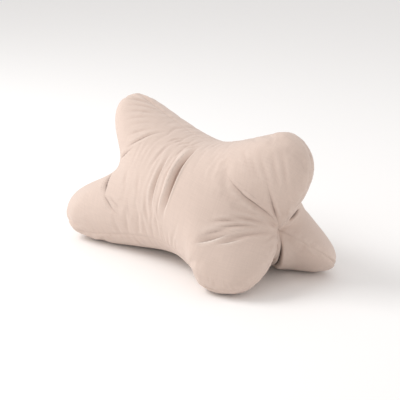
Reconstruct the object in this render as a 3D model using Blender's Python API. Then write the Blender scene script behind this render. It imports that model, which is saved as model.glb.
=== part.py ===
"""Bone-shaped neck pillow: three equal panels sewn edge to edge and stuffed, so that each end has three lobes.

The pillow lies on four of its six lobes. X runs along it, Z is up, and the origin is on the surface it
rests on, under its middle. Each seam runs from one end to the other: out of the gather where the three
seams meet, round a lobe, along the waist, round the lobe at the other end and into the other gather.
A place on the cloth is given as (along, across): along is -1 at the left gather, 0 at the waist and 1 at
the right gather, and across is 0 on a panel's first seam and 1 on its second.
"""

import math
from collections import namedtuple

import bmesh
import bpy
import numpy as np

# Driving sizes in metres.
GATHER_X = 0.157
WAIST_RADIUS = 0.094
SEAM_CROWN = 0.0026
AXIS_HEIGHT = 0.083

# The cloth that would reach below the surface is pressed up to it, over this much height.
FLOOR_SOFTNESS = 0.007
FLOOR_PRESS = 0.0009

# At each gather the cloth is drawn in.
DIMPLE_DEPTH = 0.006
DIMPLE_RADIUS = 0.013

# A groove's section: how fast it eases off, then the roll of cloth beside it, whose height is a share of
# the groove's depth and whose place and width are in half-widths of the groove.
Groove = namedtuple("Groove", "ease roll roll_at roll_width")
FOLD_GROOVE = Groove(ease=1.8, roll=0.3, roll_at=2.0, roll_width=0.9)
SEAM_GROOVE = Groove(ease=1.5, roll=0.35, roll_at=2.4, roll_width=1.1)
SEAM_DEPTH = 0.0018
SEAM_HALF_WIDTH = 0.0028

# The form is shaped on a dense mesh, then reduced to faces that are largest where the cloth is smooth.
PANEL_COLUMNS = 92
RINGS = 400
SEAM_CROWDING = 0.4
FACE_TARGET = 10900
PROFILE_POINTS = 241
FOLD_POINTS = 30

CLOTH_COLOUR = (0.64, 0.52, 0.45, 1.0)
CLOTH_ROUGHNESS = 0.92

PANELS = {"face": ("top", "front"), "base": ("front", "rear"), "back": ("rear", "top")}

# turn: direction of the lobe round the axis, from +Y, in degrees. x, r: centre of its rounding, along and
# out from the axis. radius: of the rounding. nose: how much further its tip reaches. heading: where the
# tip points, from the axis's direction outwards, in degrees. thin: 2 is a fat lobe and 4 a thin one.
# A seam meets the rounding at the shoulder and leaves it at the last of the angles, all from the tip.
SHOULDER_ANGLE = 80
ROUNDING_ANGLES = (40, 0, -40, -85)
Lobe = namedtuple("Lobe", "turn x r radius nose heading thin")
LOBES = {
    ("left", "top"): Lobe(83, 0.163, 0.105, 0.028, 0.007, 21, 2.3),
    ("left", "front"): Lobe(212, 0.182, 0.086, 0.046, -0.005, 42, 1.9),
    ("left", "rear"): Lobe(330, 0.163, 0.085, 0.053, -0.001, 53, 2.4),
    ("right", "top"): Lobe(91, 0.165, 0.103, 0.045, -0.007, 55, 3.6),
    ("right", "front"): Lobe(215, 0.120, 0.079, 0.059, -0.013, 67, 2.8),
    ("right", "rear"): Lobe(321, 0.155, 0.071, 0.054, -0.009, 67, 3.3),
}
# How far each seam leans round the axis at the waist, in degrees, and how full each panel is there.
WAIST_LEAN = {"top": -1, "front": -10, "rear": -2}
BELLY = {"face": 0.009, "base": -0.012, "back": 0.006}
# How square each panel's end is: 2 is an ellipse.
END_SQUARE = {
    ("left", "face"): 3.9,
    ("left", "base"): 3.3,
    ("left", "back"): 2.8,
    ("right", "face"): 3.1,
    ("right", "base"): 3.6,
    ("right", "back"): 4.2,
}
# The gathers sit a little off the axis, in Y and Z, and the seams turn over this length from the middle.
GATHER_SHIFT = {"left": (-0.0015, 0.0045), "right": (-0.001, -0.002)}
TURN_REACH = 0.162
# The middle of the whole box from the axis's own origin, in X and Y, which is put over the part's origin.
BOX_MIDDLE = (-0.0092, 0.0014)

# start, through, end: places on the panel. deep and half: depth and half the width, in metres.
# peak: the share of its run where it is deepest.
Fold = namedtuple("Fold", "panel start through end deep half peak")
FOLDS = (
    # Across the waist of the panel that faces the viewer.
    Fold("face", (0.01, 0.11), (0.075, 0.47), (0.07, 0.82), 0.0078, 0.0055, 0.50),
    Fold("face", (-0.02, 0.14), (-0.035, 0.47), (-0.01, 0.80), 0.0036, 0.0045, 0.55),
    Fold("face", (-0.07, 0.17), (-0.11, 0.42), (-0.09, 0.66), 0.0028, 0.0042, 0.45),
    Fold("face", (-0.11, 0.18), (-0.155, 0.36), (-0.17, 0.52), 0.0020, 0.0042, 0.45),
    Fold("face", (-0.27, 0.46), (-0.205, 0.605), (-0.12, 0.74), 0.0014, 0.0045, 0.50),
    # Out of its right gather.
    Fold("face", (0.97, 0.26), (0.67, 0.325), (0.37, 0.25), 0.0036, 0.0040, 0.50),
    Fold("face", (0.96, 0.255), (0.80, 0.25), (0.60, 0.19), 0.0034, 0.0040, 0.40),
    Fold("face", (0.87, 0.46), (0.69, 0.52), (0.50, 0.60), 0.0018, 0.0040, 0.50),
    Fold("face", (0.87, 0.55), (0.68, 0.605), (0.46, 0.685), 0.0020, 0.0040, 0.55),
    Fold("face", (0.68, 0.66), (0.52, 0.72), (0.35, 0.79), 0.0038, 0.0040, 0.55),
    Fold("face", (0.94, 0.70), (0.72, 0.695), (0.52, 0.76), 0.0040, 0.0040, 0.60),
    # Upright on its right top lobe.
    Fold("face", (0.36, 0.14), (0.49, 0.19), (0.58, 0.22), 0.0016, 0.0045, 0.50),
    Fold("face", (0.52, 0.14), (0.615, 0.17), (0.71, 0.19), 0.0016, 0.0045, 0.50),
    # Where its left lobes start.
    Fold("face", (-0.50, 0.38), (-0.34, 0.28), (-0.17, 0.12), 0.0032, 0.0042, 0.40),
    Fold("face", (-0.60, 0.43), (-0.46, 0.37), (-0.34, 0.30), 0.0030, 0.0040, 0.28),
    Fold("face", (-0.62, 0.59), (-0.47, 0.665), (-0.34, 0.74), 0.0062, 0.0042, 0.42),
    Fold("face", (-0.43, 0.69), (-0.33, 0.775), (-0.22, 0.88), 0.0024, 0.0040, 0.35),
    Fold("face", (-0.97, 0.48), (-0.84, 0.46), (-0.66, 0.42), 0.0040, 0.0040, 0.40),
    Fold("face", (-0.95, 0.70), (-0.83, 0.72), (-0.68, 0.72), 0.0026, 0.0040, 0.40),
    # The panel underneath.
    Fold("base", (0.985, 0.60), (0.84, 0.63), (0.58, 0.70), 0.0090, 0.0045, 0.42),
    Fold("base", (0.95, 0.40), (0.78, 0.38), (0.55, 0.30), 0.0028, 0.0040, 0.40),
    Fold("base", (0.04, 0.20), (0.07, 0.50), (0.00, 0.80), 0.0034, 0.0052, 0.50),
    Fold("base", (-0.97, 0.50), (-0.82, 0.50), (-0.58, 0.52), 0.0044, 0.0040, 0.40),
    Fold("base", (-0.95, 0.32), (-0.76, 0.30), (-0.52, 0.24), 0.0026, 0.0040, 0.40),
    # The panel behind.
    Fold("back", (-0.06, 0.82), (-0.12, 0.50), (-0.05, 0.20), 0.0062, 0.0055, 0.45),
    Fold("back", (0.05, 0.78), (0.01, 0.50), (0.07, 0.22), 0.0034, 0.0048, 0.50),
    Fold("back", (0.97, 0.50), (0.82, 0.455), (0.62, 0.38), 0.0090, 0.0044, 0.45),
    Fold("back", (0.95, 0.70), (0.76, 0.72), (0.50, 0.78), 0.0032, 0.0040, 0.40),
    Fold("back", (-0.97, 0.60), (-0.76, 0.64), (-0.44, 0.72), 0.0040, 0.0040, 0.40),
    Fold("back", (-0.95, 0.42), (-0.78, 0.37), (-0.50, 0.31), 0.0030, 0.0040, 0.45),
)


def even_line(points, count):
    """The line with count points at even spacing."""
    steps = np.linalg.norm(np.diff(points, axis=0), axis=1)
    reached = np.concatenate([[0], np.cumsum(steps)])
    wanted = np.linspace(0, reached[-1], count)
    return np.stack([np.interp(wanted, reached, column) for column in np.transpose(points)], axis=1)


def smooth_line(points, count):
    """A centripetal Catmull-Rom curve through the points, as count points at even spacing."""
    points = np.asarray(points, float)
    before = 2 * points[0] - points[1]
    after = 2 * points[-1] - points[-2]
    knots = np.vstack([before, points, after])
    pieces = []
    for a, b, c, d in zip(knots, knots[1:], knots[2:], knots[3:]):
        t1 = math.sqrt(np.linalg.norm(b - a))
        t2 = t1 + math.sqrt(np.linalg.norm(c - b))
        t3 = t2 + math.sqrt(np.linalg.norm(d - c))
        t = np.linspace(t1, t2, 24)[:, None]
        ab = ((t1 - t) * a + t * b) / t1
        bc = ((t2 - t) * b + (t - t1) * c) / (t2 - t1)
        cd = ((t3 - t) * c + (t - t2) * d) / (t3 - t2)
        abc = ((t2 - t) * ab + t * bc) / t2
        bcd = ((t3 - t) * bc + (t - t1) * cd) / (t3 - t1)
        pieces.append(((t2 - t) * abc + (t - t1) * bcd) / (t2 - t1))
    return even_line(np.vstack(pieces), count)


def seam_profile(end, seam):
    """Points (x, radius) of a seam on one end, from the waist, round the lobe, to the gather."""
    lobe = LOBES[end, seam]

    def on_lobe(degrees):
        reach = lobe.radius + lobe.nose * math.cos(math.radians(degrees)) ** 2
        angle = math.radians(lobe.heading + degrees)
        return (lobe.x + reach * math.cos(angle), lobe.r + reach * math.sin(angle))

    shoulder = on_lobe(SHOULDER_ANGLE)
    mirrored = (-shoulder[0], shoulder[1])
    waist = (0, WAIST_RADIUS + SEAM_CROWN)
    rounding = [on_lobe(degrees) for degrees in ROUNDING_ANGLES]
    line = smooth_line([mirrored, waist, shoulder, *rounding, (GATHER_X, 0)], 4 * PROFILE_POINTS)
    outward = line[np.argmax(line[:, 0] > 0) :]
    return even_line(np.vstack([waist, outward]), PROFILE_POINTS)


def panel_profile(end, panel):
    """Points (x, radius) of a panel's middle on one end, from the waist to the gather."""
    share = np.sin(np.linspace(0, math.pi / 2, 2 * PROFILE_POINTS))
    fullness = WAIST_RADIUS - SEAM_CROWN + BELLY[panel]
    radius = fullness * np.sqrt(1 - share ** END_SQUARE[end, panel])
    return even_line(np.stack([GATHER_X * share, radius], axis=1), PROFILE_POINTS)


def both_ends(profile, name, along):
    """The profile's x and radius at each value of along, with x negative on the left end."""
    left = profile("left", name)
    right = profile("right", name)
    shares = np.linspace(0, 1, len(right))
    x_left = -np.interp(-along, shares, left[:, 0])
    x_right = np.interp(along, shares, right[:, 0])
    r_left = np.interp(-along, shares, left[:, 1])
    r_right = np.interp(along, shares, right[:, 1])
    return np.where(along < 0, x_left, x_right), np.where(along < 0, r_left, r_right)


def seam_turn(seam, x):
    """A seam's direction round the axis, in radians, and how thin its lobes are, at each x."""
    reach = np.clip(x / TURN_REACH, -1, 1)
    blend = 0.5 + 0.5 * np.sin(reach * math.pi / 2)
    left = LOBES["left", seam]
    right = LOBES["right", seam]
    turn = left.turn * (1 - blend) + right.turn * blend + WAIST_LEAN[seam] * (1 - reach**2) ** 2
    thin = left.thin * (0.5 - 0.5 * reach) + right.thin * (0.5 + 0.5 * reach)
    return np.radians(turn), thin


def on_panel(panel, along, across):
    """The stuffed cloth's places, before its seams and folds, at each (along, across) of a panel."""
    along = np.asarray(along, float)
    across = np.asarray(across, float)
    first, second = PANELS[panel]
    x1, r1 = both_ends(seam_profile, first, along)
    x2, r2 = both_ends(seam_profile, second, along)
    x0, r0 = both_ends(panel_profile, panel, along)
    turn1, thin1 = seam_turn(first, x1)
    turn2, thin2 = seam_turn(second, x2)
    turn2 = np.where(turn2 < turn1, turn2 + 2 * math.pi, turn2)
    pull1 = np.clip(np.cos(math.pi * across), 0, 1) ** thin1
    pull2 = np.clip(-np.cos(math.pi * across), 0, 1) ** thin2
    rest = 1 - pull1 - pull2
    x = rest * x0 + pull1 * x1 + pull2 * x2
    radius = rest * r0 + pull1 * r1 + pull2 * r2
    turn = turn1 * (1 - across) + turn2 * across
    shift = np.where(x[:, None] < 0, GATHER_SHIFT["left"], GATHER_SHIFT["right"])
    shift = shift * (x[:, None] / TURN_REACH) ** 2
    y = radius * np.cos(turn) + shift[:, 0]
    z = radius * np.sin(turn) + shift[:, 1] + AXIS_HEIGHT
    return np.stack([x - BOX_MIDDLE[0], y - BOX_MIDDLE[1], z], axis=1)


def nearest_on_line(places, line):
    """Each place's distance from the line, and the share of the line's length there."""
    distance = np.full(len(places), np.inf)
    share = np.zeros(len(places))
    for index, (start, end) in enumerate(zip(line, line[1:])):
        step = end - start
        t = np.clip((places - start) @ step / (step @ step), 0, 1)
        away = np.linalg.norm(places - start - t[:, None] * step, axis=1)
        closer = away < distance
        distance[closer] = away[closer]
        share[closer] = (index + t[closer]) / (len(line) - 1)
    return distance, share


def groove_height(groove, q):
    """The section's height for a depth of 1, at q half-widths from the line."""
    roll = groove.roll * np.exp(-(((q - groove.roll_at) / groove.roll_width) ** 2))
    return roll - np.exp(-(q**groove.ease))


def fold_height(fold, places):
    """How far a fold moves each place out along its normal."""
    route = smooth_line([fold.start, fold.through, fold.end], FOLD_POINTS)
    line = on_panel(fold.panel, route[:, 0], route[:, 1])
    distance, share = nearest_on_line(places, line)
    rise = np.minimum(share / fold.peak, (1 - share) / (1 - fold.peak))
    depth = fold.deep * rise * rise * (3 - 2 * rise)
    return depth * groove_height(FOLD_GROOVE, distance / fold.half)


def seam_height(places):
    """How far the seams' grooves, and the rolls beside them, move each place out along its normal."""
    along = np.linspace(-1, 1, PROFILE_POINTS)
    lines = [on_panel(panel, along, np.zeros(len(along))) for panel in PANELS]
    distance = np.min([nearest_on_line(places, line)[0] for line in lines], axis=0)
    return SEAM_DEPTH * groove_height(SEAM_GROOVE, distance / SEAM_HALF_WIDTH)


def stuffed_mesh():
    """A UV sphere whose poles are the two gathers, shaped to the stuffed cloth."""
    mesh = bpy.data.meshes.new("neck_pillow")
    sphere = bmesh.new()
    bmesh.ops.create_uvsphere(sphere, u_segments=3 * PANEL_COLUMNS, v_segments=RINGS, radius=1)
    sphere.to_mesh(mesh)
    sphere.free()
    points = np.zeros(3 * len(mesh.vertices), np.float32)
    mesh.vertices.foreach_get("co", points)
    points = points.reshape(-1, 3).astype(float)
    along = 2 * np.arcsin(np.clip(points[:, 2], -1, 1)) / math.pi
    thirds = np.arctan2(points[:, 1], points[:, 0]) / (2 * math.pi) % 1 * 3
    thirds = np.round(thirds * PANEL_COLUMNS) / PANEL_COLUMNS % 3
    across = thirds % 1
    across = across - SEAM_CROWDING * np.sin(2 * math.pi * across) / (2 * math.pi)
    for index, panel in enumerate(PANELS):
        mine = thirds.astype(int) == index
        points[mine] = on_panel(panel, along[mine], across[mine])
    mesh.vertices.foreach_set("co", points.astype(np.float32).ravel())
    mesh.update()
    return mesh


def sew_and_fold(mesh):
    """Presses the seams' grooves, the gathers' dimples and the folds into the stuffed form."""
    places = np.zeros(3 * len(mesh.vertices), np.float32)
    mesh.vertices.foreach_get("co", places)
    places = places.reshape(-1, 3).astype(float)
    normals = np.zeros(3 * len(mesh.vertices), np.float32)
    mesh.vertices.foreach_get("normal", normals)
    normals = normals.reshape(-1, 3).astype(float)
    height = seam_height(places)
    for fold in FOLDS:
        height += fold_height(fold, places)
    places += height[:, None] * normals
    for end in (-1.0, 1.0):
        gather = on_panel("face", np.array([end]), np.array([0.0]))
        away = np.linalg.norm(places - gather, axis=1) / DIMPLE_RADIUS
        places[:, 0] -= end * DIMPLE_DEPTH * np.exp(-(away**1.5))
    places[:, 2] = pressed_flat(places[:, 2])
    mesh.vertices.foreach_set("co", places.astype(np.float32).ravel())
    mesh.update()


def pressed_flat(z):
    """Heights with what lies below the surface brought up to just under it, softly."""
    pressed = (z + FLOOR_SOFTNESS) ** 2 / (4 * FLOOR_SOFTNESS)
    pressed = np.where(z < -FLOOR_SOFTNESS, 0, pressed)
    return np.where(z > FLOOR_SOFTNESS, z, pressed) - FLOOR_PRESS


def reduced(pillow):
    """The pillow's mesh with fewer faces, largest where the cloth is smooth."""
    reduce = pillow.modifiers.new("reduce", "DECIMATE")
    reduce.ratio = FACE_TARGET / (2 * len(pillow.data.polygons))
    depsgraph = bpy.context.evaluated_depsgraph_get()
    mesh = bpy.data.meshes.new_from_object(pillow.evaluated_get(depsgraph))
    pillow.modifiers.remove(reduce)
    return mesh


def cut_feet_flat(mesh):
    """Cuts the four lobes that it lies on flat at the surface."""
    body = bmesh.new()
    body.from_mesh(mesh)
    geometry = body.verts[:] + body.edges[:] + body.faces[:]
    cut = bmesh.ops.bisect_plane(
        body, geom=geometry, dist=1e-6, plane_co=(0, 0, 0), plane_no=(0, 0, -1), clear_outer=True
    )
    rims = [part for part in cut["geom_cut"] if isinstance(part, bmesh.types.BMEdge)]
    bmesh.ops.holes_fill(body, edges=rims, sides=0)
    bmesh.ops.recalc_face_normals(body, faces=body.faces)
    body.to_mesh(mesh)
    body.free()


def cloth_material():
    """Plain woven cloth."""
    material = bpy.data.materials.new("cotton_cloth")
    material.use_nodes = True
    shader = material.node_tree.nodes["Principled BSDF"]
    shader.inputs["Base Color"].default_value = CLOTH_COLOUR
    shader.inputs["Roughness"].default_value = CLOTH_ROUGHNESS
    shader.inputs["Metallic"].default_value = 0.0
    return material


def main():
    for old in list(bpy.data.objects):
        bpy.data.objects.remove(old, do_unlink=True)
    parts = bpy.data.collections.new("neck_pillow")
    bpy.context.scene.collection.children.link(parts)
    mesh = stuffed_mesh()
    sew_and_fold(mesh)
    pillow = bpy.data.objects.new("pillow", mesh)
    parts.objects.link(pillow)
    pillow.data = reduced(pillow)
    cut_feet_flat(pillow.data)
    pillow.data.materials.append(cloth_material())
    for face in pillow.data.polygons:
        face.use_smooth = True


main()
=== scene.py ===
# Neck pillow of plain woven cotton: three bone-shaped panels sewn edge to edge, turned and stuffed.
# It lies on four of its six lobes. X runs along it, and the viewer of its front panel is at -Y.

import math
import bpy
import numpy as np
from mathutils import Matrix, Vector


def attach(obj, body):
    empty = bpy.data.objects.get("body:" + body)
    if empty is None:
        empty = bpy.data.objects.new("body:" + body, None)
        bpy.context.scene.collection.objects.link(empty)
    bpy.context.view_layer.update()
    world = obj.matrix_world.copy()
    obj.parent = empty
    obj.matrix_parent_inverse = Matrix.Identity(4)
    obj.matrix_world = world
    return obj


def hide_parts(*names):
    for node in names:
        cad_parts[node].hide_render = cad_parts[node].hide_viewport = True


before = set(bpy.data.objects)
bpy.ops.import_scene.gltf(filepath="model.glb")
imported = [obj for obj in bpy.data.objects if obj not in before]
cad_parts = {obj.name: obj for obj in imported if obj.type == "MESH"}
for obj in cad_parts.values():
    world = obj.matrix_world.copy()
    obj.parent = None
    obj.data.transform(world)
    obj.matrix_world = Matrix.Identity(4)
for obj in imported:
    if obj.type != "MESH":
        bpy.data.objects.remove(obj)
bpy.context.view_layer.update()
print("Frame loaded")


# Form of the stuffed pillow, in metres and degrees

form = {
    "gatherX": 0.157,  # where the seams meet, from the waist
    "waistRadius": 0.094,
    "seamCrown": 0.0026,  # at the waist the seams stand out by this, and the panels' middles lie in by it
    "axisHeight": 0.083,
    "turnReach": 0.162,  # from here out a seam has the turn of its lobe
    "boxMiddle": (-0.0092, 0.0014),
    "floorSoftness": 0.007,
    "dimpleDepth": 0.006,
    "dimpleRadius": 0.013,
    "dimpleShape": 1.5,
    "waistLean": {"top": -1, "front": -10, "rear": -2},
    "belly": {"face": 0.009, "base": -0.012, "back": 0.006},
    "gatherShift": {"left": (-0.0015, 0.0045), "right": (-0.001, -0.002)},
    "shoulder": 80,  # degrees off a lobe's heading, as are the points of its round
    "rounding": (40, 0, -40, -85),
    "steps": 241,
    "seamFiner": 4,  # points worked out along a seam for each one kept, and then along a panel's middle
    "panelFiner": 2,
}
panels = {"face": ("top", "front"), "base": ("front", "rear"), "back": ("rear", "top")}
# Turn is degrees round the pillow, x and out are where the lobe's middle lies along and off its axis,
# heading is degrees from its length, and thin is how soon the lobe narrows
lobeColumns = ("turn", "x", "out", "radius", "nose", "heading", "thin")
lobes = {
    ("left", "top"): (83, 0.163, 0.105, 0.028, 0.007, 21, 2.3),
    ("left", "front"): (212, 0.182, 0.086, 0.046, -0.005, 42, 1.9),
    ("left", "rear"): (330, 0.163, 0.085, 0.053, -0.001, 53, 2.4),
    ("right", "top"): (91, 0.165, 0.103, 0.045, -0.007, 55, 3.6),
    ("right", "front"): (215, 0.120, 0.079, 0.059, -0.013, 67, 2.8),
    ("right", "rear"): (321, 0.155, 0.071, 0.054, -0.009, 67, 3.3),
}
endSquare = {  # 2 is an ellipse
    ("left", "face"): 3.9,
    ("left", "base"): 3.3,
    ("left", "back"): 2.8,
    ("right", "face"): 3.1,
    ("right", "base"): 3.6,
    ("right", "back"): 4.2,
}


def evenLine(points, count):
    steps = np.linalg.norm(np.diff(points, axis=0), axis=1)
    reached = np.concatenate([[0], np.cumsum(steps)])
    wanted = np.linspace(0, reached[-1], count)
    return np.stack([np.interp(wanted, reached, column) for column in np.transpose(points)], axis=1)


def smoothLine(points, count, steps=24):
    # A centripetal Catmull-Rom curve through the points
    points = np.asarray(points, float)
    knots = np.vstack([2 * points[0] - points[1], points, 2 * points[-1] - points[-2]])
    pieces = []
    for a, b, c, d in zip(knots, knots[1:], knots[2:], knots[3:]):
        t1 = math.sqrt(np.linalg.norm(b - a))
        t2 = t1 + math.sqrt(np.linalg.norm(c - b))
        t3 = t2 + math.sqrt(np.linalg.norm(d - c))
        t = np.linspace(t1, t2, steps)[:, None]
        ab = ((t1 - t) * a + t * b) / t1
        bc = ((t2 - t) * b + (t - t1) * c) / (t2 - t1)
        cd = ((t3 - t) * c + (t - t2) * d) / (t3 - t2)
        abc = ((t2 - t) * ab + t * bc) / t2
        bcd = ((t3 - t) * bc + (t - t1) * cd) / (t3 - t1)
        pieces.append(((t2 - t) * abc + (t - t1) * bcd) / (t2 - t1))
    return evenLine(np.vstack(pieces), count)


def seamProfile(end, seam, count=form["steps"]):
    # (x, radius) of a seam on one end, from the waist, round the lobe, to the gather
    lobe = dict(zip(lobeColumns, lobes[end, seam]))

    def onLobe(degrees):
        reach = lobe["radius"] + lobe["nose"] * math.cos(math.radians(degrees)) ** 2
        angle = math.radians(lobe["heading"] + degrees)
        return (lobe["x"] + reach * math.cos(angle), lobe["out"] + reach * math.sin(angle))

    shoulder = onLobe(form["shoulder"])
    waist = (0, form["waistRadius"] + form["seamCrown"])
    rounding = [onLobe(degrees) for degrees in form["rounding"]]
    knots = [(-shoulder[0], shoulder[1]), waist, shoulder, *rounding, (form["gatherX"], 0)]
    line = smoothLine(knots, form["seamFiner"] * count)
    outward = line[np.argmax(line[:, 0] > 0):]
    return evenLine(np.vstack([waist, outward]), count)


def panelProfile(end, panel, count=form["steps"]):
    # (x, radius) of a panel's middle on one end, from the waist to the gather
    share = np.sin(np.linspace(0, math.pi / 2, form["panelFiner"] * count))
    fullness = form["waistRadius"] - form["seamCrown"] + form["belly"][panel]
    radius = fullness * np.sqrt(1 - share ** endSquare[end, panel])
    return evenLine(np.stack([form["gatherX"] * share, radius], axis=1), count)


def bothEnds(profile, name, along):
    left = profile("left", name)
    right = profile("right", name)
    shares = np.linspace(0, 1, len(right))
    leftward = [np.interp(-along, shares, column) for column in left.T]
    rightward = [np.interp(along, shares, column) for column in right.T]
    x = np.where(along < 0, -leftward[0], rightward[0])
    radius = np.where(along < 0, leftward[1], rightward[1])
    return x, radius


def seamTurn(seam, x):
    reach = np.clip(x / form["turnReach"], -1, 1)
    blend = 0.5 + 0.5 * np.sin(reach * math.pi / 2)
    left = dict(zip(lobeColumns, lobes["left", seam]))
    right = dict(zip(lobeColumns, lobes["right", seam]))
    lean = form["waistLean"][seam] * (1 - reach**2) ** 2
    turn = left["turn"] * (1 - blend) + right["turn"] * blend + lean
    thin = left["thin"] * (0.5 - 0.5 * reach) + right["thin"] * (0.5 + 0.5 * reach)
    return np.radians(turn), thin


def onPanel(panel, along, across):
    # Places on a panel: along is -1 at the left gather and 1 at the right, across is 0 and 1 on its seams
    along = np.asarray(along, float)
    across = np.asarray(across, float)
    first, second = panels[panel]
    x1, radius1 = bothEnds(seamProfile, first, along)
    x2, radius2 = bothEnds(seamProfile, second, along)
    x0, radius0 = bothEnds(panelProfile, panel, along)
    turn1, thin1 = seamTurn(first, x1)
    turn2, thin2 = seamTurn(second, x2)
    turn2 = np.where(turn2 < turn1, turn2 + 2 * math.pi, turn2)
    pull1 = np.clip(np.cos(math.pi * across), 0, 1) ** thin1
    pull2 = np.clip(-np.cos(math.pi * across), 0, 1) ** thin2
    rest = 1 - pull1 - pull2
    x = rest * x0 + pull1 * x1 + pull2 * x2
    radius = rest * radius0 + pull1 * radius1 + pull2 * radius2
    turn = turn1 * (1 - across) + turn2 * across
    shift = np.where(x[:, None] < 0, form["gatherShift"]["left"], form["gatherShift"]["right"])
    shift = shift * (x[:, None] / form["turnReach"]) ** 2
    y = radius * np.cos(turn) + shift[:, 0] - form["boxMiddle"][1]
    z = radius * np.sin(turn) + shift[:, 1] + form["axisHeight"]
    return np.stack([x - form["boxMiddle"][0], y, z], axis=1)


def readPlaces(mesh, what="co"):
    flat = np.zeros(3 * len(mesh.vertices), np.float32)
    mesh.vertices.foreach_get(what, flat)
    return flat.reshape(-1, 3).astype(float)


def writePlaces(mesh, places):
    mesh.vertices.foreach_set("co", places.astype(np.float32).ravel())
    mesh.update()


# Cloth skin: a grid that runs from gather to gather, so that folds and weave follow the panels

skin = {
    "columns": 52,  # on each panel
    "rings": 155,
    "waistCrowding": 0.35,
    "seamCrowding": 0.35,
    "onLine": 1e-4,  # a place this near a seam or a gather is on it
    "mapRows": 161,
    "mapColumns": 61,
    "mapSpacing": 0.6,  # metres from one panel to the next on the map
}


def crowdAtSeams(across):
    return across - skin["seamCrowding"] * np.sin(2 * math.pi * across) / (2 * math.pi)


def makeSkin():
    bpy.ops.object.select_all(action="DESELECT")
    bpy.ops.mesh.primitive_uv_sphere_add(segments=3 * skin["columns"], ring_count=skin["rings"], radius=1)
    piece = bpy.context.active_object
    piece.name = "pillowCover"
    mesh = piece.data
    points = readPlaces(mesh)
    along = 2 * np.arcsin(np.clip(points[:, 2], -1, 1)) / math.pi
    thirds = np.arctan2(points[:, 1], points[:, 0]) / (2 * math.pi) % 1 * 3
    thirds = np.round(thirds * skin["columns"]) / skin["columns"] % 3
    along = along - skin["waistCrowding"] * np.sin(math.pi * along) / math.pi
    atPole = np.abs(along) > 1 - skin["onLine"]
    thirds[atPole] = 0
    across = crowdAtSeams(thirds % 1)
    places = np.zeros_like(points)
    for index, panel in enumerate(panels):
        mine = thirds.astype(int) == index
        places[mine] = onPanel(panel, along[mine], across[mine])
    writePlaces(mesh, places)
    return piece, along, thirds


def facePanels(mesh, along, thirds):
    # The panel that each face corner belongs to, and how far across it the corner is
    loops = np.zeros(len(mesh.loops), int)
    mesh.loops.foreach_get("vertex_index", loops)
    starts = np.array([face.loop_start for face in mesh.polygons])
    totals = np.array([face.loop_total for face in mesh.polygons])
    face = np.repeat(np.arange(len(starts)), totals)
    third = thirds[loops]
    atPole = np.abs(along[loops]) > 1 - skin["onLine"]
    # A face that closes the round runs from just under 3 to 0, which is 3 there
    high = np.maximum.reduceat(np.where(atPole, 0, third), starts)
    low = np.minimum.reduceat(np.where(atPole, 3, third), starts)
    closes = high - low > len(panels) / 2
    third = np.where(closes[face] & (third < 1) & ~atPole, third + 3, third)
    # A gather's corner has no third of its own, so it takes the middle of its face
    count = np.add.reduceat(np.where(atPole, 0.0, 1.0), starts)
    middle = np.add.reduceat(np.where(atPole, 0, third), starts) / count
    panel = np.clip(middle.astype(int), 0, 2)
    across = np.where(atPole, (middle - panel)[face], third - panel[face])
    return loops, panel[face], across


def panelMap(panel):
    # Real metres along and across the panel, from its middle, on an even grid
    rows = np.linspace(-1, 1, skin["mapRows"])
    columns = crowdAtSeams(np.linspace(0, 1, skin["mapColumns"]))
    along, across = np.meshgrid(rows, columns, indexing="ij")
    grid = onPanel(panel, along.ravel(), across.ravel()).reshape(*along.shape, 3)
    stepAlong = np.linalg.norm(np.diff(grid, axis=0), axis=2)
    stepAcross = np.linalg.norm(np.diff(grid, axis=1), axis=2)
    u = np.vstack([np.zeros((1, len(columns))), np.cumsum(stepAlong, axis=0)])
    u -= u[len(rows) // 2]
    v = np.hstack([np.zeros((len(rows), 1)), np.cumsum(stepAcross, axis=1)])
    v -= v[:, len(columns) // 2][:, None]
    return u, v


def layWeave(mesh, along, thirds):
    # Grain runs along each panel
    loops, panelOf, across = facePanels(mesh, along, thirds)
    uv = np.zeros((len(loops), 2))
    for index, panel in enumerate(panels):
        mine = panelOf == index
        row = (along[loops[mine]] + 1) / 2 * (skin["mapRows"] - 1)
        column = across[mine] * (skin["mapColumns"] - 1)
        row0 = np.clip(row.astype(int), 0, skin["mapRows"] - 2)
        column0 = np.clip(column.astype(int), 0, skin["mapColumns"] - 2)
        past = row - row0
        over = column - column0
        for slot, field in enumerate(panelMap(panel)):
            nearRow = field[row0, column0] * (1 - over) + field[row0, column0 + 1] * over
            nextRow = field[row0 + 1, column0] * (1 - over) + field[row0 + 1, column0 + 1] * over
            uv[mine, slot] = nearRow * (1 - past) + nextRow * past
        uv[mine, 1] += skin["mapSpacing"] * index
    layer = mesh.uv_layers[0] if mesh.uv_layers else mesh.uv_layers.new()
    layer.name = "grain"
    layer.data.foreach_set("uv", uv.astype(np.float32).ravel())


# Stuffing: the panels are cut a little larger than the form, sewn down at the seams and blown up

stuffing = {
    "excess": 0.03,  # how much larger the cloth is than the form
    "pressure": 60.0,
    "quality": 6,
    "stiffness": 15.0,
    "shear": 7.5,
    "bending": 0.02,
    "damping": 5.0,
    "bendingDamping": 0.5,
    "pointMass": 0.3,
    "frames": 10,
    "heldFrom": 0.985,  # the gathers are held from here out
    "unevenness": 0.0003,
    "unevenSeed": 5,
    "evening": 3,
    "smoothing": 14,  # rounds of smoothing that part the wrinkles from the swelling
    "ownShare": 0.3,  # what a point keeps of its own value in a round
    "mostMove": 0.0030,
    "leastMove": 1e-9,
}


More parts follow.
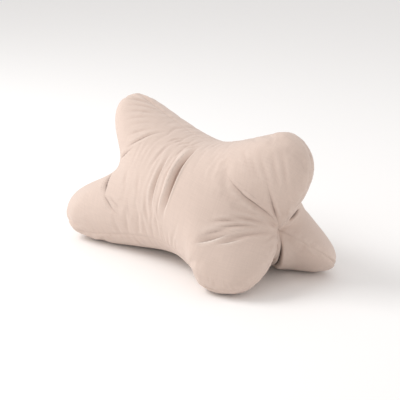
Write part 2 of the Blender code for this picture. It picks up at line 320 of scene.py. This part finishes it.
def smoothed(mesh, values, rounds):
    # Averages each point's value with its neighbours'
    ends = np.zeros(2 * len(mesh.edges), int)
    mesh.edges.foreach_get("vertices", ends)
    first, second = ends.reshape(-1, 2).T
    count = np.bincount(first, minlength=len(values)) + np.bincount(second, minlength=len(values))
    own = stuffing["ownShare"]
    for turn in range(rounds):
        total = np.zeros_like(values)
        for column in range(values.shape[1]):
            total[:, column] = np.bincount(first, values[second, column], len(values))
            total[:, column] += np.bincount(second, values[first, column], len(values))
        values = own * values + (1 - own) * total / count[:, None]
    return values


def stuff(piece, along, thirds):
    mesh = piece.data
    shape = readPlaces(mesh)
    held = (np.abs(thirds - np.round(thirds)) < skin["onLine"]) | (np.abs(along) > stuffing["heldFrom"])
    # The cloth starts a little uneven, so that it wrinkles the same way in every run
    chance = np.random.default_rng(stuffing["unevenSeed"])
    uneven = smoothed(mesh, chance.normal(0, stuffing["unevenness"], (len(shape), 1)), stuffing["evening"])
    uneven[held] = 0
    start = shape + uneven * readPlaces(mesh, "normal")
    writePlaces(mesh, start)
    group = piece.vertex_groups.new(name="seam")
    group.add([int(index) for index in np.flatnonzero(held)], 1.0, "REPLACE")
    cloth = piece.modifiers.new("cloth", "CLOTH")
    settings = cloth.settings
    settings.quality = stuffing["quality"]
    settings.mass = stuffing["pointMass"]
    settings.tension_stiffness = stuffing["stiffness"]
    settings.compression_stiffness = stuffing["stiffness"]
    settings.shear_stiffness = stuffing["shear"]
    settings.bending_stiffness = stuffing["bending"]
    settings.tension_damping = stuffing["damping"]
    settings.compression_damping = stuffing["damping"]
    settings.shear_damping = stuffing["damping"]
    settings.bending_damping = stuffing["bendingDamping"]
    settings.shrink_min = -stuffing["excess"]
    settings.use_pressure = True
    settings.uniform_pressure_force = stuffing["pressure"]
    settings.vertex_group_mass = "seam"
    settings.effector_weights.gravity = 0
    cloth.collision_settings.use_collision = False
    cloth.point_cache.frame_end = stuffing["frames"]
    for frameNumber in range(1, stuffing["frames"] + 1):
        bpy.context.scene.frame_set(frameNumber)
    depsgraph = bpy.context.evaluated_depsgraph_get()
    puffed = readPlaces(piece.evaluated_get(depsgraph).data)
    piece.modifiers.remove(cloth)
    piece.vertex_groups.clear()
    bpy.context.scene.frame_set(1)
    move = puffed - start
    print("Swelling, mm:", np.round(1000 * np.percentile(np.linalg.norm(move, axis=1), (50, 90, 100)), 1))
    move -= smoothed(mesh, move, stuffing["smoothing"])
    length = np.linalg.norm(move, axis=1)
    print("Wrinkles, mm:", np.round(1000 * np.percentile(length, (50, 90, 100)), 2))
    move *= np.minimum(1, stuffing["mostMove"] / np.maximum(length, stuffing["leastMove"]))[:, None]
    return shape, move


def subdivided(piece, places):
    writePlaces(piece.data, places)
    finer = piece.modifiers.new("finer", "SUBSURF")
    finer.levels = 1
    finer.render_levels = 1
    depsgraph = bpy.context.evaluated_depsgraph_get()
    mesh = bpy.data.meshes.new_from_object(piece.evaluated_get(depsgraph))
    piece.modifiers.remove(finer)
    return mesh


# Seams and folds, pressed into the skin along its normals

seams = {
    "depth": 0.0007,
    "halfWidth": 0.0018,
    "sharpness": 1.5,
    "swell": 0.15,  # how high the cloth stands beside the groove, against its depth
    "swellAt": 2.6,  # in half widths of the groove
    "swellWidth": 1.2,
    "dark": 0.06,  # how dark the painted shade in the seam's groove is, against a tight fold's
    "setOff": 0.1,  # so that no two seams pucker alike
    "pucker": 0.0002,  # the cloth is eased in, so it waves a little beside the seam
    "puckerLength": 0.0074,
    "puckerReach": 0.0065,
    "puckerFade": 0.0130,
}
puckerColumns = ("height", "length", "wander", "wanderLength")
puckerWaves = ((1.0, 1.0, 1.7, 5.3), (0.6, 1.7, 2.0, 7.1))
# Seams that lie beside the crest of their lobe, over a stretch of their run
seamShifts = {
    "top": {"panel": "back", "start": 0.20, "end": 0.86, "across": -0.055},
    "front": {"panel": "base", "start": 0.40, "end": 0.90, "across": 0.075},
}
# Each fold runs through three places, given along and across its panel. Deep, and half of its width, are in
# metres. A low edge makes its bottom sharp, lip is the swelling beside it, peak is where along its run it is
# deepest, and lean makes it steeper to the left of its run than to the right
foldColumns = ("panel", "start", "through", "end", "deep", "half", "edge", "lip", "peak", "lean")
folds = (
    # Across the waist of the panel that faces the viewer
    ("face", (0.035, 0.11), (0.104, 0.51), (0.05, 0.83), 0.0085, 0.0034, 1.42, 0.40, 0.44, 0.45),
    ("face", (0.0, 0.32), (0.018, 0.505), (0.01, 0.70), 0.0011, 0.0022, 1.6, 0.40, 0.50, 0.0),
    ("face", (-0.075, 0.24), (-0.058, 0.55), (-0.02, 0.84), 0.0034, 0.0026, 1.42, 0.45, 0.50, 0.45),
    ("face", (-0.13, 0.28), (-0.115, 0.50), (-0.10, 0.74), 0.0012, 0.0028, 1.7, 0.36, 0.50, 0.0),
    ("face", (-0.11, 0.18), (-0.155, 0.36), (-0.17, 0.52), 0.0014, 0.0028, 1.6, 0.36, 0.45, 0.0),
    ("face", (-0.43, 0.44), (-0.34, 0.585), (-0.22, 0.725), 0.0010, 0.0032, 1.7, 0.30, 0.50, 0.0),
    ("face", (-0.27, 0.46), (-0.205, 0.605), (-0.12, 0.74), 0.0010, 0.0032, 1.7, 0.30, 0.50, 0.0),
    ("face", (-0.105, 0.60), (-0.08, 0.75), (-0.045, 0.87), 0.0012, 0.0030, 1.7, 0.30, 0.50, 0.0),
    # Out of its right gather
    ("face", (0.97, 0.29), (0.66, 0.335), (0.39, 0.27), 0.0036, 0.0026, 1.0, 0.28, 0.50, -0.3),
    ("face", (0.96, 0.258), (0.80, 0.243), (0.61, 0.195), 0.0034, 0.0024, 1.0, 0.28, 0.40, 0.2),
    ("face", (0.88, 0.465), (0.72, 0.51), (0.56, 0.555), 0.0022, 0.0026, 1.4, 0.40, 0.50, 0.0),
    ("face", (0.72, 0.555), (0.585, 0.58), (0.45, 0.635), 0.0022, 0.0024, 1.4, 0.40, 0.50, 0.0),
    ("face", (0.82, 0.55), (0.665, 0.60), (0.50, 0.655), 0.0022, 0.0022, 1.2, 0.45, 0.55, 0.0),
    ("face", (0.64, 0.63), (0.515, 0.68), (0.42, 0.72), 0.0018, 0.0024, 1.4, 0.40, 0.50, 0.0),
    ("face", (0.66, 0.655), (0.49, 0.735), (0.35, 0.795), 0.0034, 0.0030, 1.3, 0.20, 0.55, 0.6),
    ("face", (0.94, 0.64), (0.71, 0.68), (0.56, 0.725), 0.0022, 0.0026, 1.5, 0.30, 0.60, 0.0),
    ("face", (0.74, 0.70), (0.60, 0.732), (0.49, 0.76), 0.0026, 0.0026, 1.3, 0.20, 0.50, 0.6),
    # Upright on its right top lobe
    ("face", (0.34, 0.12), (0.475, 0.19), (0.62, 0.245), 0.0013, 0.0026, 1.7, 0.30, 0.50, 0.0),
    ("face", (0.44, 0.15), (0.55, 0.20), (0.66, 0.232), 0.0013, 0.0024, 1.7, 0.30, 0.50, 0.0),
    ("face", (0.46, 0.125), (0.585, 0.18), (0.70, 0.215), 0.0012, 0.0024, 1.7, 0.30, 0.50, 0.0),
    ("face", (0.50, 0.095), (0.605, 0.148), (0.72, 0.18), 0.0013, 0.0024, 1.7, 0.30, 0.50, 0.0),
    ("face", (0.53, 0.075), (0.635, 0.122), (0.74, 0.145), 0.0012, 0.0024, 1.7, 0.30, 0.50, 0.0),
    # Where its left lobes start
    ("face", (-0.50, 0.38), (-0.34, 0.275), (-0.17, 0.12), 0.0030, 0.0024, 1.2, 0.45, 0.40, 0.0),
    ("face", (-0.60, 0.44), (-0.46, 0.384), (-0.36, 0.32), 0.0032, 0.0024, 1.1, 0.35, 0.28, 0.0),
    ("face", (-0.60, 0.56), (-0.455, 0.665), (-0.385, 0.73), 0.0074, 0.0018, 1.0, 0.15, 0.50, 0.0),
    ("face", (-0.425, 0.705), (-0.345, 0.758), (-0.22, 0.86), 0.0028, 0.0022, 1.2, 0.40, 0.35, 0.0),
    ("face", (-0.38, 0.71), (-0.30, 0.755), (-0.21, 0.815), 0.0012, 0.0022, 1.3, 0.40, 0.40, 0.0),
    ("face", (-0.97, 0.48), (-0.84, 0.46), (-0.66, 0.42), 0.0040, 0.0032, 1.2, 0.30, 0.40, 0.0),
    ("face", (-0.95, 0.70), (-0.83, 0.72), (-0.68, 0.72), 0.0028, 0.0030, 1.3, 0.30, 0.40, 0.0),
    # The panel underneath
    ("base", (0.99, 0.60), (0.80, 0.66), (0.44, 0.76), -0.0080, 0.0120, 1.7, 0.0, 0.50, 0.0),
    ("base", (0.99, 0.58), (0.80, 0.636), (0.46, 0.73), 0.0110, 0.0022, 1.0, 0.10, 0.55, 0.0),
    ("base", (0.95, 0.40), (0.78, 0.38), (0.55, 0.30), 0.0030, 0.0032, 1.3, 0.30, 0.40, 0.0),
    ("base", (0.04, 0.20), (0.07, 0.50), (0.00, 0.80), 0.0040, 0.0048, 1.6, 0.30, 0.50, 0.3),
    ("base", (-0.97, 0.50), (-0.82, 0.50), (-0.58, 0.52), 0.0046, 0.0032, 1.2, 0.30, 0.40, 0.0),
    ("base", (-0.95, 0.32), (-0.76, 0.30), (-0.52, 0.24), 0.0030, 0.0030, 1.3, 0.30, 0.40, 0.0),
    # The panel behind
    ("back", (-0.06, 0.82), (-0.12, 0.50), (-0.05, 0.20), 0.0080, 0.0052, 1.4, 0.32, 0.45, 0.45),
    ("back", (0.05, 0.78), (0.01, 0.50), (0.07, 0.22), 0.0040, 0.0040, 1.5, 0.32, 0.50, 0.3),
    ("back", (0.93, 0.49), (0.84, 0.465), (0.70, 0.41), 0.0075, 0.0018, 1.0, 0.20, 0.50, 0.0),
    ("back", (0.95, 0.70), (0.76, 0.72), (0.50, 0.78), 0.0036, 0.0028, 1.2, 0.35, 0.40, 0.0),
    ("back", (-0.97, 0.60), (-0.76, 0.64), (-0.44, 0.72), 0.0046, 0.0027, 1.1, 0.36, 0.40, 0.0),
    ("back", (-0.95, 0.42), (-0.78, 0.37), (-0.50, 0.31), 0.0034, 0.0030, 1.2, 0.32, 0.45, 0.0),
)
# Groups of fine folds side by side: the first one, then how far each next one is set over, and how many
rippleColumns = ("panel", "start", "through", "end", "step", "count", "deep", "half")
ripples = (
    # Level on the panel's left top lobe, then upright at the left of its waist
    ("face", (-0.48, 0.295), (-0.37, 0.235), (-0.26, 0.165), (-0.013, -0.037), 6, 0.0017, 0.0022),
    ("face", (-0.16, 0.17), (-0.22, 0.34), (-0.22, 0.52), (-0.045, 0.020), 4, 0.0004, 0.0026),
    # Fanning out under the seam at the top of the waist
    ("face", (0.075, 0.10), (0.02, 0.17), (-0.02, 0.26), (-0.036, 0.0), 5, 0.0012, 0.0022),
    # Short ones out of the gathers
    ("face", (0.93, 0.10), (0.86, 0.12), (0.78, 0.12), (0.0, 0.035), 3, 0.0012, 0.0022),
    ("face", (0.96, 0.36), (0.89, 0.38), (0.82, 0.40), (0.0, 0.035), 3, 0.0010, 0.0022),
    ("face", (0.95, 0.76), (0.88, 0.78), (0.80, 0.80), (0.0, 0.060), 3, 0.0010, 0.0022),
    # Puckers at the foot of its right front lobe
    ("face", (0.465, 0.915), (0.462, 0.95), (0.458, 0.985), (0.036, 0.010), 4, 0.0009, 0.0018),
    # More short ones out of the gathers
    ("face", (-0.94, 0.22), (-0.87, 0.25), (-0.79, 0.27), (0.0, 0.080), 7, 0.0011, 0.0024),
    ("base", (0.94, 0.18), (0.86, 0.20), (0.78, 0.20), (0.0, 0.090), 4, 0.0011, 0.0024),
    ("base", (-0.94, 0.16), (-0.86, 0.18), (-0.78, 0.18), (0.0, 0.090), 7, 0.0011, 0.0024),
    ("back", (0.94, 0.60), (0.86, 0.64), (0.78, 0.66), (0.0, 0.080), 4, 0.0011, 0.0024),
    ("back", (-0.94, 0.18), (-0.86, 0.20), (-0.78, 0.20), (0.0, 0.090), 7, 0.0011, 0.0024),
    # Across the waist, underneath and behind
    ("base", (-0.12, 0.22), (-0.14, 0.48), (-0.12, 0.74), (0.055, 0.0), 5, 0.0014, 0.0030),
    ("back", (-0.20, 0.72), (-0.22, 0.52), (-0.19, 0.30), (0.055, 0.0), 5, 0.0014, 0.0030),
)


rippleShape = {"edge": 1.7, "lip": 0.35, "lean": 0.0}
rippleChance = {"seed": 7, "shift": 0.006, "deep": (0.6, 1.3), "peak": (0.35, 0.65)}


def rippleRows():
    rows = []
    chance = np.random.default_rng(rippleChance["seed"])
    for row in ripples:
        group = dict(zip(rippleColumns, row))
        for index in range(group["count"]):
            shift = index * np.array(group["step"]) + chance.normal(0, rippleChance["shift"], 2)
            ends = [tuple(np.array(group[key]) + shift) for key in ("start", "through", "end")]
            deep = group["deep"] * chance.uniform(*rippleChance["deep"])
            peak = chance.uniform(*rippleChance["peak"])
            shape = (rippleShape["edge"], rippleShape["lip"], peak, rippleShape["lean"])
            rows.append((group["panel"], *ends, deep, group["half"], *shape))
    return rows


def nearestOnLine(places, line, outward):
    # How far each place is from the line, how far along it, and on which side
    distance = np.full(len(places), np.inf)
    share = np.zeros(len(places))
    side = np.zeros(len(places))
    for index, (start, end) in enumerate(zip(line, line[1:])):
        step = end - start
        reached = np.clip((places - start) @ step / (step @ step), 0, 1)
        offset = places - start - reached[:, None] * step
        away = np.linalg.norm(offset, axis=1)
        closer = away < distance
        distance[closer] = away[closer]
        share[closer] = (index + reached[closer]) / (len(line) - 1)
        left = np.cross(outward[closer], step)
        side[closer] = np.sign(np.sum(offset[closer] * left, axis=1))
    return distance, share, side


# From this lean on a fold laps over itself: its dark bottom, painted shade, and its bright rim, raised and
# painted highlight, lie beside its line
lapping = {"lean": 0.4, "edge": 2.4, "lip": 0.22, "deep": 0.009, "apart": 0.0045, "apartPower": 1.5}
# The bottom of a tight fold is narrower than the mesh, so each point also keeps how far it is from it, for
# the painted shade in it and the painted highlight beside it.
# Folds that run side by side are kept in different layers, and the seams in the first
tightest = {
    "roundEdge": 1.6,  # a fold with this edge or a rounder one has no painted shade at its bottom
    "edgeRange": 0.5,
    "deep": 0.0075,
    "reach": 0.0080,
    "far": 0.01,
    "halfWidth": 0.0006,
    "widening": 0.0008,
    "lip": 0.8,  # height of the edge that laps over it, against its depth
    "lipFull": 0.0008,
    "rimShare": 0.65,
    "lipEase": 0.4,
    "layers": 4,
    "shadeDepth": 0.010,  # at this depth a fold has all of its painted shade
    "crestHeight": 0.0010,  # at this height a ridge has all of its painted highlight
}
# Attributes of the mesh, for each layer and for all folds together
creaseNames = ("creaseAway", "creaseDark", "creaseApart")
foldNames = ("foldDepth", "foldRise")
# Points along a fold's line, and how far its reach and the swelling beside it lie off it, in its half widths
crossing = {"steps": 40, "reach": 4, "rollAt": 2.0, "rollWidth": 0.9}


def markCrease(crease, near, away, dark, apart):
    nearer = np.abs(away) < np.abs(crease["creaseAway"][near])
    index = np.flatnonzero(near)[nearer]
    dark = np.where(np.abs(away) < tightest["reach"], dark, 0)
    crease["creaseAway"][index] = away[nearer]
    crease["creaseDark"][index] = dark[nearer]
    crease["creaseApart"][index] = apart[nearer]


def foldHeight(row, places, outward, crease):
    fold = dict(zip(foldColumns, row))
    route = smoothLine([fold["start"], fold["through"], fold["end"]], crossing["steps"])
    line = onPanel(fold["panel"], route[:, 0], route[:, 1])
    reach = crossing["reach"] * fold["half"] / (1 - abs(fold["lean"]))
    near = np.all((places > line.min(axis=0) - reach) & (places < line.max(axis=0) + reach), axis=1)
    distance, share, side = nearestOnLine(places[near], line, outward[near])
    rise = np.minimum(share / fold["peak"], (1 - share) / (1 - fold["peak"]))
    depth = fold["deep"] * rise * rise * (3 - 2 * rise)
    widths = distance / fold["half"] * (1 + fold["lean"] * side)
    laps = fold["lean"] >= lapping["lean"]
    steep = laps & (side > 0)
    edge = np.where(steep, lapping["edge"], fold["edge"])
    lip = np.where(steep, lapping["lip"], fold["lip"])
    roll = lip * np.exp(-(((widths - crossing["rollAt"]) / crossing["rollWidth"]) ** 2))
    height = np.zeros(len(places))
    height[near] = depth * (roll - np.exp(-(widths**edge)))
    tight = np.clip((tightest["roundEdge"] - fold["edge"]) / tightest["edgeRange"], 0, 1)
    if tight > 0:
        # How much painted shade the fold's bottom gets
        dark = tight * np.clip(depth / tightest["deep"], 0, 1)
        apart = np.zeros(len(depth))
        if laps:
            apart = lapping["apart"] * (depth / lapping["deep"]) ** lapping["apartPower"]
        markCrease(crease, near, distance * side, dark, apart)
    return height


def seamLine(seam, panel, along):
    line = onPanel(panel, along, np.zeros(len(along)))
    if seam in seamShifts:
        shift = seamShifts[seam]
        stretch = np.clip((along - shift["start"]) / (shift["end"] - shift["start"]), 0, 1)
        rise = np.sin(math.pi * stretch) ** 2
        across = shift["across"] * rise
        beside = onPanel(shift["panel"], along, across if shift["across"] > 0 else 1 + across)
        line = np.where((rise > 0)[:, None], beside, line)
    return line


def seamHeight(places, outward, crease):
    along = np.linspace(-1, 1, form["steps"])
    best = np.full(len(places), np.inf)
    run = np.zeros(len(places))
    sides = np.zeros(len(places))
    for index, (panel, panelSeams) in enumerate(panels.items()):
        line = seamLine(panelSeams[0], panel, along)
        length = np.linalg.norm(np.diff(line, axis=0), axis=1).sum()
        distance, share, side = nearestOnLine(places, line, outward)
        nearer = distance < best
        best[nearer] = distance[nearer]
        sides[nearer] = side[nearer]
        run[nearer] = share[nearer] * length + seams["setOff"] * index
    everywhere = np.full(len(places), True)
    # A faint line of painted shade along each seam's groove
    markCrease(crease, everywhere, best * sides, np.full(len(places), seams["dark"]), np.zeros(len(places)))
    widths = best / seams["halfWidth"]
    swell = seams["swell"] * np.exp(-(((widths - seams["swellAt"]) / seams["swellWidth"]) ** 2))
    groove = seams["depth"] * (swell - np.exp(-(widths ** seams["sharpness"])))
    turns = 2 * math.pi * run / seams["puckerLength"]
    waves = 0
    for row in puckerWaves:
        wave = dict(zip(puckerColumns, row))
        wander = wave["wander"] * np.sin(turns / wave["wanderLength"])
        waves = waves + wave["height"] * np.sin(turns / wave["length"] + wander)
    reaches = best / seams["puckerReach"]
    pucker = seams["pucker"] * reaches * np.exp(1 - reaches) * np.exp(-((best / seams["puckerFade"]) ** 2))
    return groove + pucker * waves


def pressFlat(z):
    soft = form["floorSoftness"]
    pressed = np.where(z < -soft, 0, (z + soft) ** 2 / (4 * soft))
    return np.where(z > soft, z, pressed)


def dimpleGathers(places):
    for end in (-1.0, 1.0):
        gather = onPanel("face", np.array([end]), np.array([0.0]))
        away = np.linalg.norm(places - gather, axis=1) / form["dimpleRadius"]
        places[:, 0] -= end * form["dimpleDepth"] * np.exp(-(away ** form["dimpleShape"]))


def sewAndFold(mesh, plain, outward):
    # The folds lie where the plain form has them, and move the wrinkled skin
    places = readPlaces(mesh)
    normals = readPlaces(mesh, "normal")
    creases = []
    for layer in range(tightest["layers"]):
        crease = {name: np.zeros(len(plain)) for name in creaseNames}
        crease["creaseAway"] += tightest["far"]
        creases.append(crease)
    height = seamHeight(plain, outward, creases[0])
    for index, row in enumerate(list(folds) + rippleRows()):
        height += foldHeight(row, plain, outward, creases[1 + index % (tightest["layers"] - 1)])
    # Painted shade where the cloth lies deep in a fold, painted highlight where it stands high on a ridge
    kept = {"foldDepth": np.clip(-height / tightest["shadeDepth"], 0, 1)}
    kept["foldRise"] = np.clip(height / tightest["crestHeight"], 0, 1)
    places += height[:, None] * normals
    dimpleGathers(places)
    places[:, 2] = pressFlat(places[:, 2])
    writePlaces(mesh, places)
    for index, crease in enumerate(creases):
        for name in creaseNames:
            kept[f"{name}{index}"] = crease[name]
    for name, values in kept.items():
        layer = mesh.attributes.new(name, "FLOAT", "POINT")
        layer.data.foreach_set("value", values.astype(np.float32))


# Materials


def linear(hexColour):
    # From sRGB
    shares = np.array([int(hexColour[start:start + 2], 16) / 255 for start in (1, 3, 5)])
    return (*np.where(shares < 0.04045, shares / 12.92, ((shares + 0.055) / 1.055) ** 2.4), 1.0)


def addNode(tree, kind, inputs=None, **settings):
    # An input is given its value or the output that feeds it
    node = tree.nodes.new(kind)
    for name, value in settings.items():
        setattr(node, name, value)
    for name, value in (inputs or {}).items():
        if isinstance(value, bpy.types.NodeSocket):
            tree.links.new(value, node.inputs[name])
        else:
            node.inputs[name].default_value = value
    return node


cotton = {
    "colour": "#D0BCB0",
    # Painted shade in the bottom of folds
    "shade": "#A98F83",
    "crest": "#EADBD0",  # on the edge of a lapping fold, which catches the light
    # Share of the painted highlight that ridges get
    "ridgeHighlight": 0.25,
    "crease": "#5E4B42",  # where the light doesn't reach
    "roughness": 0.88,
    "ior": 1.45,
    "specular": 0.25,
    "sheen": 0.2,
    "sheenRoughness": 0.6,
    "threadSpacing": 0.0009,  # real threads are near 0.5 mm, drawn coarser so that they show
    "weaveHeight": 0.00006,
    "weaveShare": 0.35,
    "weaveStrength": 0.6,
    "creaseDepth": 0.0010,
    "slubLength": 0.028,
    "slubWidth": 0.0019,  # real ones are near 0.8 mm, drawn wider so that they show
    "slubDetail": 3.0,
    "slubRoughness": 0.6,
    "slubRange": (0.7, 1.3),
    "slubTone": 0.04,
}
# Each step has its result, the operation and what goes in: a number, or the name of an attribute of the mesh
# or of an earlier result. These are taken for each layer of folds, and the next ones once
creaseSteps = (
    # A deeper fold's painted shade at its bottom is wider
    ("width", "MULTIPLY_ADD", "creaseDark", tightest["widening"], tightest["halfWidth"]),
    ("fromBottom", "ADD", "creaseAway", "creaseApart"),
    ("widths", "DIVIDE", "fromBottom", "width"),
    ("widthsSquared", "MULTIPLY", "widths", "widths"),
    ("fading", "MULTIPLY", "widthsSquared", -1.0),
    ("core", "EXPONENT", "fading"),
    ("darkCore", "MULTIPLY", "core", "creaseDark"),
    ("line", "MAXIMUM", "line", "darkCore"),
    # The edge that laps over it rises steeply and eases off slowly, in relief and in painted highlight
    ("rim", "MULTIPLY", "creaseApart", tightest["rimShare"]),
    ("fromRim", "SUBTRACT", "creaseAway", "rim"),
    ("past", "DIVIDE", "fromRim", "width"),
    ("after", "MAXIMUM", "past", 0.0),
    ("before", "MINIMUM", "past", 0.0),
    ("ease", "MULTIPLY_ADD", "after", tightest["lipEase"], "before"),
    ("easeSquared", "MULTIPLY", "ease", "ease"),
    ("falling", "MULTIPLY", "easeSquared", -1.0),
    ("shape", "EXPONENT", "falling"),
    ("opening", "DIVIDE", "creaseApart", tightest["lipFull"]),
    ("fullness", "MINIMUM", "opening", 1.0),
    ("lip", "MULTIPLY", "shape", "fullness"),
    ("lips", "ADD", "lips", "lip"),
)
clothSteps = (
    # Threads over and under each other
    ("turnsAlong", "MULTIPLY", "along", math.pi / cotton["threadSpacing"]),
    ("turnsAcross", "MULTIPLY", "across", math.pi / cotton["threadSpacing"]),
    ("wavesAlong", "SINE", "turnsAlong"),
    ("wavesAcross", "SINE", "turnsAcross"),
    ("weave", "MULTIPLY", "wavesAlong", "wavesAcross"),
    ("slub", "ADD", "slubAlong", "slubAcross"),
    ("relief", "MULTIPLY_ADD", "weave", cotton["weaveShare"], "slub"),
    # How far the tight folds press the cloth in, and where painted highlight lightens its rims and ridges
    ("raised", "MULTIPLY", "lips", tightest["lip"]),
    ("pressed", "SUBTRACT", "raised", "line"),
    ("lighter", "MULTIPLY_ADD", "foldRise", cotton["ridgeHighlight"], "lips"),
    ("crests", "MINIMUM", "lighter", 1.0),
)


def threads(tree):
    # Where each place lies on the weave, and the thicker stretches that uneven yarn has
    grain = addNode(tree, "ShaderNodeUVMap", uv_map="grain").outputs["UV"]
    split = addNode(tree, "ShaderNodeSeparateXYZ", {"Vector": grain}).outputs
    found = {"along": split["X"], "across": split["Y"]}
    longWays = 1 / cotton["slubLength"]
    crossWays = 1 / cotton["slubWidth"]
    for name, scale in (("slubAlong", (longWays, crossWays, 1)), ("slubAcross", (crossWays, longWays, 1))):
        stretched = addNode(tree, "ShaderNodeMapping", {"Vector": grain, "Scale": scale}).outputs[0]
        noise = {"Vector": stretched, "Scale": 1.0, "Detail": cotton["slubDetail"],
                 "Roughness": cotton["slubRoughness"]}
        found[name] = addNode(tree, "ShaderNodeTexNoise", noise).outputs["Fac"]
    return found


def reliefAndTones(tree):
    known = {"line": 0.0, "lips": 0.0, **threads(tree)}
    rounds = [(layer, creaseNames, creaseSteps) for layer in range(tightest["layers"])]
    rounds.append(("", foldNames, clothSteps))
    for layer, names, steps in rounds:
        for name in names:
            attribute = addNode(tree, "ShaderNodeAttribute", attribute_name=f"{name}{layer}")
            known[name] = attribute.outputs["Fac"]
        for result, operation, *values in steps:
            inputs = {index: known.get(value, value) for index, value in enumerate(values)}
            known[result] = addNode(tree, "ShaderNodeMath", inputs, operation=operation).outputs[0]
    return known


def cottonMaterial():
    # Plain-woven cotton, unfinished: dry and matt, soft at the edges, with slightly uneven threads
    material = bpy.data.materials.new("plain woven cotton")
    material.use_nodes = True
    tree = material.node_tree
    tree.nodes.clear()
    known = reliefAndTones(tree)
    woven = {"Height": known["relief"], "Strength": cotton["weaveStrength"],
             "Distance": cotton["weaveHeight"]}
    normal = addNode(tree, "ShaderNodeBump", woven).outputs[0]
    creased = {"Height": known["pressed"], "Strength": 1.0, "Distance": cotton["creaseDepth"],
               "Normal": normal}
    normal = addNode(tree, "ShaderNodeBump", creased).outputs[0]
    colour = linear(cotton["colour"])
    # Painted shade in deep folds, painted highlight on rims and ridges, then painted shade in tight fold
    # bottoms and seam grooves
    for share, tone in (("foldDepth", "shade"), ("crests", "crest"), ("line", "crease")):
        mixed = {0: known[share], 6: colour, 7: linear(cotton[tone])}
        colour = addNode(tree, "ShaderNodeMix", mixed, data_type="RGBA").outputs[2]
    heather = {"Value": known["slub"], "From Min": cotton["slubRange"][0], "From Max": cotton["slubRange"][1],
               "To Min": 1 - cotton["slubTone"], "To Max": 1 + cotton["slubTone"]}
    tone = addNode(tree, "ShaderNodeMapRange", heather).outputs[0]
    colour = addNode(tree, "ShaderNodeVectorMath", {0: colour, "Scale": tone}, operation="SCALE").outputs[0]
    cloth = {"Base Color": colour, "Normal": normal, "Roughness": cotton["roughness"], "Metallic": 0.0,
             "IOR": cotton["ior"], "Specular IOR Level": cotton["specular"], "Sheen Weight": cotton["sheen"],
             "Sheen Roughness": cotton["sheenRoughness"]}
    shader = addNode(tree, "ShaderNodeBsdfPrincipled", cloth).outputs[0]
    addNode(tree, "ShaderNodeOutputMaterial", {"Surface": shader})
    return material


pillow, along, thirds = makeSkin()
layWeave(pillow.data, along, thirds)
print("Skin shaped")
shape, move = stuff(pillow, along, thirds)
print("Pillow stuffed")
plainSkin = subdivided(pillow, shape)
pillow.data = subdivided(pillow, shape + move)
sewAndFold(pillow.data, readPlaces(plainSkin), readPlaces(plainSkin, "normal"))
print("Seams and folds pressed in")
bpy.ops.object.shade_smooth()
pillow.data.materials.clear()
pillow.data.materials.append(cottonMaterial())
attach(pillow, "root")
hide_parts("pillow")
print("Pillow dressed")


# Studio: pale floor, soft light from the upper left and fainter light from both sides

studio = {
    "floorSize": 12,
    "floorColour": "#FBFAF9",
    "floorRoughness": 0.9,
    "floorSpecular": 0.1,
    "worldStrength": 0.77,
    "worldColour": (1.0, 0.985, 0.98),
    "target": (-0.0114, 0.0077, 0.0804),
    "azimuth": 46.6,  # the photo's angle, in degrees round and up
    "elevation": 18.7,
    "distance": 1.569,
    "lens": 92.0,  # mm, as is the sensor
    "sensor": 36,
}
# Metres to the right of the target as the camera sees it and above it, metres wide, watts
lightColumns = ("name", "right", "up", "size", "power")
lights = (
    ("key", -1.41, 1.41, 1.0, 19),
    ("left", -1.96, 0.42, 1.0, 5.5),
    ("right", 1.96, 0.42, 1.0, 4.7),
)


def makeFloor():
    bpy.ops.object.select_all(action="DESELECT")
    bpy.ops.mesh.primitive_plane_add(size=studio["floorSize"])
    floor = bpy.context.active_object
    floor.name = "floor"
    material = bpy.data.materials.new("matt white paper")
    material.use_nodes = True
    shader = material.node_tree.nodes["Principled BSDF"]
    shader.inputs["Base Color"].default_value = linear(studio["floorColour"])
    shader.inputs["Roughness"].default_value = studio["floorRoughness"]
    shader.inputs["Specular IOR Level"].default_value = studio["floorSpecular"]
    floor.data.materials.append(material)


def makeStudio():
    makeFloor()
    target = Vector(studio["target"])
    azimuth = math.radians(studio["azimuth"])
    elevation = math.radians(studio["elevation"])
    level = math.cos(elevation)
    right = Vector((math.cos(azimuth), math.sin(azimuth), 0))
    back = Vector((math.sin(azimuth) * level, -math.cos(azimuth) * level, math.sin(elevation)))
    camera = bpy.data.objects.new("camera", bpy.data.cameras.new("camera"))
    bpy.context.scene.collection.objects.link(camera)
    camera.data.lens = studio["lens"]
    camera.data.sensor_width = studio["sensor"]
    camera.location = target + studio["distance"] * back
    camera.rotation_euler = back.to_track_quat("Z", "Y").to_euler()
    bpy.context.scene.camera = camera
    for row in lights:
        values = dict(zip(lightColumns, row))
        away = values["right"] * right + values["up"] * Vector((0, 0, 1))
        light = bpy.data.lights.new(values["name"], "AREA")
        light.size = values["size"]
        light.energy = values["power"]
        lamp = bpy.data.objects.new(values["name"], light)
        bpy.context.scene.collection.objects.link(lamp)
        lamp.location = target + away
        lamp.rotation_euler = away.to_track_quat("Z", "Y").to_euler()
    world = bpy.data.worlds.new("studio")
    world.use_nodes = True
    background = world.node_tree.nodes["Background"]
    background.inputs["Color"].default_value = (*studio["worldColour"], 1)
    background.inputs["Strength"].default_value = studio["worldStrength"]
    bpy.context.scene.world = world
    bpy.context.scene.view_settings.view_transform = "Standard"


makeStudio()
print("Studio set")
